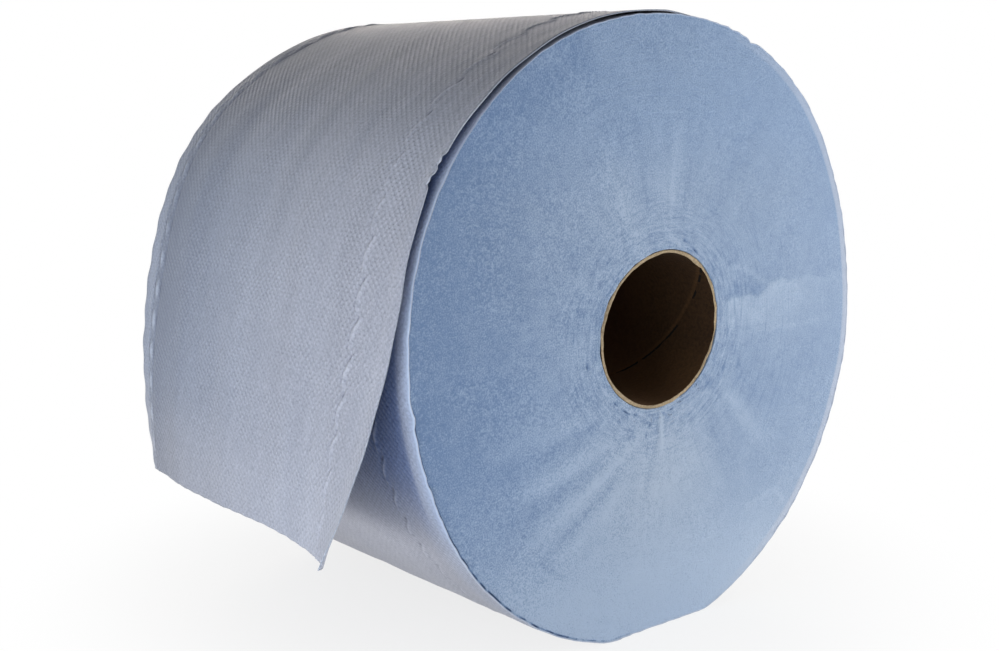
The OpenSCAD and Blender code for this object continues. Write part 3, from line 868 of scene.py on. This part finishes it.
def ply_edges():
    """The cut edges of the two plies, pale and fuzzy, with painted shade and light that follow the sheet's hue: darker
    over the top and beside the near edge, lighter down the far part of the side.
    """
    made, tree, place = new_material("ply_edges")
    fibre = use(tree, FIBRE, {"Place": place, "Size": 0.0012})
    # Painted shade and light that follow the sheet's hue
    shade = total(tree, 0.5, fibre["Tone"], times(tree, measure(tree, "hue"), -0.9))
    dress(tree, blend(tree, shade, PLY_DEEP, PLY_PALE), fibre["Height"], 0.0002, 0.9, 0.2)
    return made


def board(name, dark, light, jointed):
    """Cardboard: flecked brown fibre. Inside the core, painted light and shade make it darker towards the near end and
    paler deep in and low down, and an open joint winds along it, dark and broken, beside the paler edge of the ply
    that overlaps it."""
    made, tree, place = new_material(name)
    fibre = use(tree, FIBRE, {"Place": place, "Size": 0.0014})
    shade = total(tree, 0.5, times(tree, fibre["Tone"], 0.5 if jointed else 1.2))
    if jointed:
        axes = parts(tree, place)
        # Painted light and shade inside the core: darker towards the near end, paler deep in and low down
        deep = span(tree, axes["Y"], -HALF_WEB, -0.01, -0.43, 0.1)
        low_side = span(tree, axes["Z"], -0.006, -CORE_R, 0.0, 0.44)
        turned = calc(tree, "ARCTAN2", axes["Z"], axes["X"])
        wound = total(tree, turned, times(tree, axes["Y"], SEAM_TURN), -SEAM_TURN * SEAM_PLACE[1] - SEAM_PLACE[0])
        seam = calc(tree, "WRAP", wound, np.pi, -np.pi)
        ply = times(tree, span(tree, seam, 0.01, 0.05), span(tree, seam, 0.07, 0.15, 1.0, 0.0), 0.2)
        shade = total(tree, shade, deep, low_side, ply)
    colour = blend(tree, shade, dark, light)
    if jointed:
        broken = span(tree, noise(tree, place, 0.009, 2.0, 0.6), 0.505, 0.55)
        open_joint = times(tree, span(tree, calc(tree, "ABSOLUTE", seam), 0.018, 0.038, 1.0, 0.0), broken)
        colour = blend(tree, open_joint, colour, OPEN_JOINT)
    dress(tree, colour, fibre["Height"], 0.0003, 0.85)
    return made


# ---------------- the roll
CUT, TISSUE, PLY_EDGE = cut_ends(), embossed_tissue(), ply_edges()
RIM_BOARD = board("cut_board", RIM_DEEP, RIM_PALE, False)
BORE_BOARD = board("core_board_inside", BORE_DEEP, BORE_PALE, True)

body = wound_body([CUT, TISSUE, CUT])
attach(body, "root")
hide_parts("paper_roll")

sheet, sheet_length = loose_sheet([TISSUE, PLY_EDGE])
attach(sheet, "root")
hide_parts("paper_roll")

core = core_tube([RIM_BOARD, BORE_BOARD])
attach(core, "root")
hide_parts("core_tube")


# ---------------- floor, lights and camera
def seen_directly(tree):
    """1 for what the camera sees, also in a gloss or through something clear, and 0 for what lights the object."""
    seen = tree.nodes.new("ShaderNodeLightPath").outputs
    return most(tree, seen["Is Camera Ray"], seen["Is Glossy Ray"], seen["Is Transmission Ray"])


def floor_material():
    """A pale floor. The camera sees it go over to plain white away from the roll, and its shadow close to the roll."""
    made, tree, place = new_material("pale_floor")
    away = node(tree, "VectorMath", {0: place}, operation="LENGTH").outputs["Value"]
    white_share = times(tree, seen_directly(tree), span(tree, away, 0.14, 0.3, 0.78, 1.0))
    pale = node(tree, "BsdfDiffuse", {"Color": (0.88, 0.88, 0.88, 1)}).outputs[0]
    white = node(tree, "Emission", {"Color": WHITE, "Strength": 1.0}).outputs[0]
    both = node(tree, "MixShader", {0: white_share, 1: pale, 2: white}).outputs[0]
    tree.links.new(both, tree.nodes.new("ShaderNodeOutputMaterial").inputs[0])
    return made


FLOOR_HALF = 8.0
floor_points = np.stack(np.meshgrid(
    [-FLOOR_HALF, FLOOR_HALF], [-FLOOR_HALF, FLOOR_HALF], [FLOOR_Z], indexing="ij"
), -1).reshape(2, 2, 3)
floor = surface("floor", floor_points, False, False, [floor_material()], outside=-1)

world = bpy.data.worlds.new("studio")
bpy.context.scene.world = world
world.use_nodes = True
sky = world.node_tree
sky.nodes.clear()
soft = node(sky, "Background", {"Color": (0.9, 1.0, 1.15, 1), "Strength": 0.138}).outputs[0]
plain = node(sky, "Background", {"Color": WHITE, "Strength": 1.0}).outputs[0]
both = node(sky, "MixShader", {0: seen_directly(sky), 1: soft, 2: plain}).outputs[0]
sky.links.new(both, sky.nodes.new("ShaderNodeOutputWorld").inputs[0])

# Soft boxes: name, place, what each one faces, width and height, power, colour
SOFT_BOXES = (
    ("left_box", (-0.7, -0.15, -0.05), (-0.14, -0.03, -0.04), (0.5, 0.14), 1.7, (1.0, 1.0, 0.92)),
    ("low_left_box", (-0.42, -0.25, -0.075), (-0.14, -0.05, -0.02), (0.3, 0.13), 0.5, (0.75, 0.86, 1.0)),
    ("right_box", (0.42, -0.5, 0.02), (0.0, -0.1, -0.02), (0.5, 0.3), 2.9, (0.98, 1.0, 0.97)),
    ("top_back_box", (0.75, 0.8, 0.6), (0.0, 0.0, 0.1), (0.8, 0.5), 2.6, (1.0, 0.9, 0.84)),
    ("back_right_box", (0.9, 1.1, 0.31), (-0.04, 0.0, 0.14), (0.6, 0.3), 3.8, (1.0, 0.91, 0.76)),
    ("back_box", (0.4, 1.2, 0.25), (0.0, 0.1, 0.0), (0.9, 0.7), 4.6, (1.0, 0.92, 0.8)),
)
for name, at, towards, (width, height), power, colour in SOFT_BOXES:
    lamp = bpy.data.lights.new(name, "AREA")
    lamp.shape, lamp.size, lamp.size_y, lamp.energy, lamp.color = "RECTANGLE", width, height, power, colour
    held = bpy.data.objects.new(name, lamp)
    held.location = at
    held.rotation_euler = (Vector(towards) - Vector(at)).to_track_quat("-Z", "Y").to_euler()
    held.visible_camera = False
    bpy.context.scene.collection.objects.link(held)

# The camera stands left of the roll's near end and a little above its middle, and looks slightly down
EYE = Vector((-0.4534, -0.5213, 0.10472))
LOOK = Vector((0.64112, 0.74948, -0.16508)).normalized()
RIGHT = Vector((0.75991, -0.65003, 0.0)).normalized()
UP = RIGHT.cross(LOOK)
lens = bpy.data.cameras.new("view")
lens.lens, lens.sensor_width, lens.sensor_fit = 48.7, 36.0, "HORIZONTAL"
lens.clip_start, lens.clip_end = 0.01, 50.0
camera = bpy.data.objects.new("view", lens)
camera.matrix_world = Matrix((RIGHT, UP, -LOOK)).transposed().to_4x4()
camera.location = EYE
bpy.context.scene.collection.objects.link(camera)
bpy.context.scene.camera = camera
bpy.context.scene.view_settings.view_transform = "Standard"
